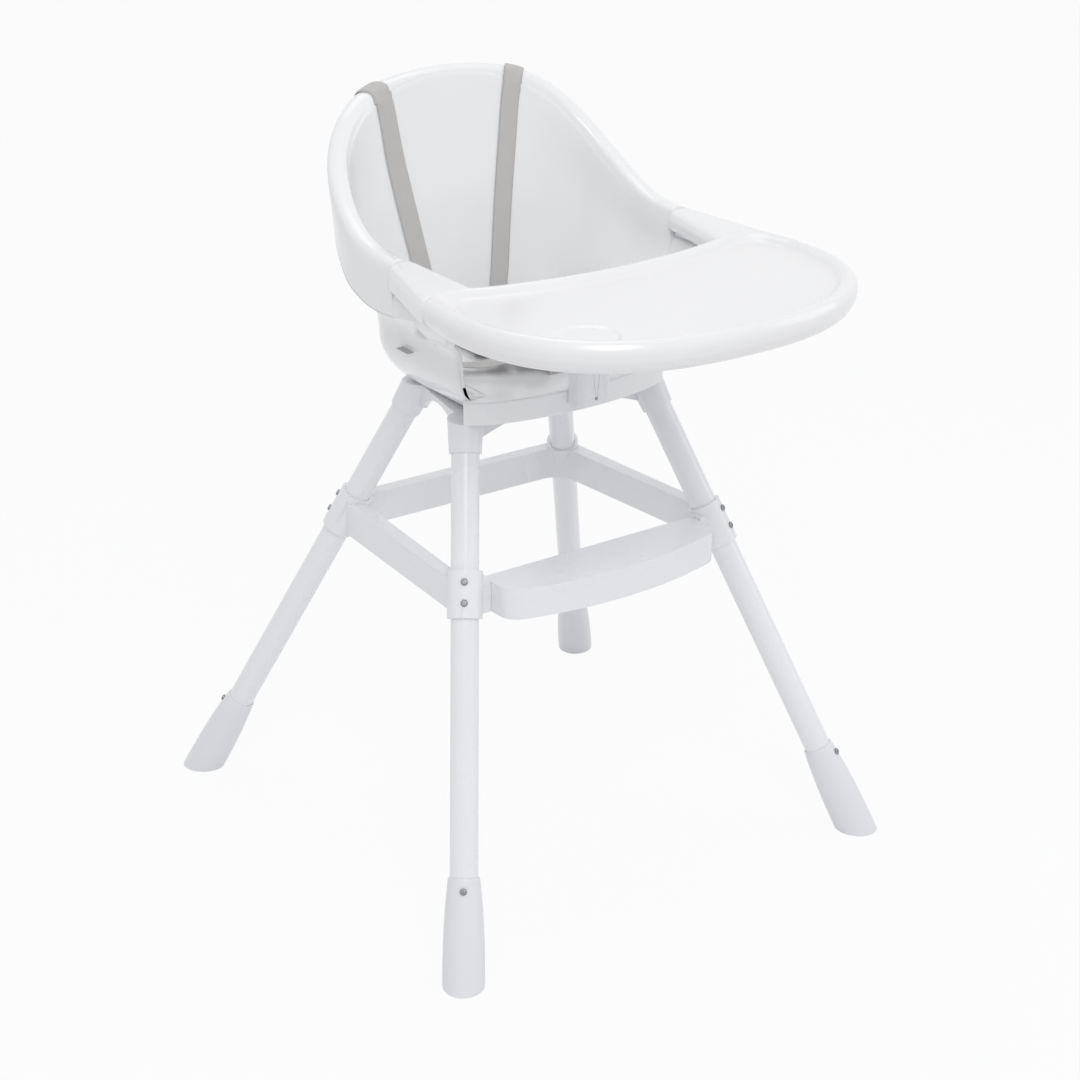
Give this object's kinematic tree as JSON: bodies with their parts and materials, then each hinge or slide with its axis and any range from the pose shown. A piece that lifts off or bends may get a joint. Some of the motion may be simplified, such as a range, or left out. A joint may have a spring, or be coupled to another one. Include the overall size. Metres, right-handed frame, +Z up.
{
  "type": "baby high chair",
  "caption": "White moulded high chair: bucket seat on splayed tube legs with brace ring, footrest, slide-off tray and harness.",
  "frame": {"origin": "middle of the whole chair's footprint at floor level", "axes": "+Z up, the child faces -Y, the child's left hand is at +X"},
  "size_m": [0.6526, 0.7518, 0.903],
  "materials": {
    "white_shell": "glossy white moulding",
    "white_frame": "semi-gloss white moulding",
    "white_tube": "white powder coat",
    "white_foot": "satin white",
    "tray_white": "glossy rim, satin floor",
    "plug_plastic": "matte grey",
    "screw_steel": "zinc plated",
    "webbing": "woven grey webbing",
    "buckle_plastic": "fine grained dark grey",
    "button_plastic": "satin grey",
    "lever_plastic": "satin pale grey"
  },
  "bodies": {
    "chair": {"seat_shell": "white_shell", "crotch_post": "white_frame", "hub_frame": "white_frame", "brace_ring": "white_frame", "footrest": "white_frame", "upper_leg_front_left": "white_tube", "upper_leg_front_right": "white_tube", "upper_leg_rear_left": "white_tube", "upper_leg_rear_right": "white_tube", "lower_leg_front_left": "white_tube", "lower_leg_front_right": "white_tube", "lower_leg_rear_left": "white_tube", "lower_leg_rear_right": "white_tube", "foot_front_left": "white_foot", "foot_front_right": "white_foot", "foot_rear_left": "white_foot", "foot_rear_right": "white_foot", "leg_plugs": "plug_plastic", "sleeve_screws": "screw_steel", "foot_screws": "screw_steel", "seat_screws": "screw_steel", "step_screws": "screw_steel", "post_screws": "screw_steel", "shoulder_strap_left": "webbing", "shoulder_strap_right": "webbing", "waist_strap_left": "webbing", "waist_strap_right": "webbing", "crotch_strap": "webbing", "buckle_body": "buckle_plastic", "buckle_tongue_left": "buckle_plastic", "buckle_tongue_right": "buckle_plastic", "strap_anchors": "white_frame", "strap_adjusters": "buckle_plastic"},
    "tray": {"tray": "tray_white", "tray_runner_left": "white_frame", "tray_runner_right": "white_frame"},
    "lever_left": {"tray_lever_left": "lever_plastic"},
    "lever_right": {"tray_lever_right": "lever_plastic"},
    "buckle_button": {"buckle_button": "button_plastic"}
  },
  "joints": [
    {"name": "tray_slide", "type": "slide", "parent": "chair", "child": "tray", "axis": [0, -1, 0], "range_m": [0, 0.16]},
    {"name": "lever_left_pull", "type": "slide", "parent": "tray", "child": "lever_left", "axis": [-1, 0, 0], "range_m": [0, 0.006], "stiffness_N_per_m": 400, "springref_m": -0.003},
    {"name": "lever_right_pull", "type": "slide", "parent": "tray", "child": "lever_right", "axis": [1, 0, 0], "range_m": [0, 0.006], "stiffness_N_per_m": 400, "springref_m": -0.003},
    {"name": "buckle_press", "type": "slide", "parent": "chair", "child": "buckle_button", "axis": [0, 0, -1], "range_m": [0, 0.002], "stiffness_N_per_m": 600, "springref_m": -0.002}
  ]
}
